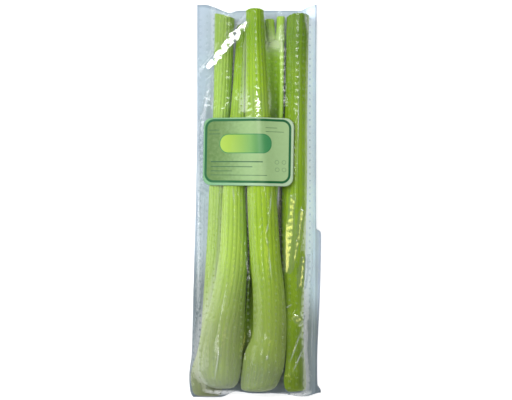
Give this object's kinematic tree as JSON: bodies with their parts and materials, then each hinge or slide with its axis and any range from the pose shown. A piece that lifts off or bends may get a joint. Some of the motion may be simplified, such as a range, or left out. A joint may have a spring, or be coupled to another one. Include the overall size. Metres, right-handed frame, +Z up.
{
  "type": "bag of cut celery stalks",
  "caption": "Loose celery stalks with flared pale bases and cut tops, lying in a clear open-ended produce bag with a blank printed label.",
  "frame": {"origin": "middle of the bag's flat underside", "axes": "+Y along the stalks from their bases to their cut tops, +X across the bag, +Z up out of the surface it lies on"},
  "size_m": [0.1191, 0.352, 0.0354],
  "materials": {
    "celery": "moist, waxy plant skin with fine lengthwise ribs",
    "clear_film": "thin clear glossy plastic film with small punched holes",
    "label": "smooth printed sticker, left blank"
  },
  "bodies": {
    "root": {"stalk_left": "celery", "stalk_front_left": "celery", "stalk_front_middle": "celery", "stalk_channel_up": "celery", "stalk_right": "celery", "bag": "clear_film", "label": "label"}
  },
  "joints": []
}
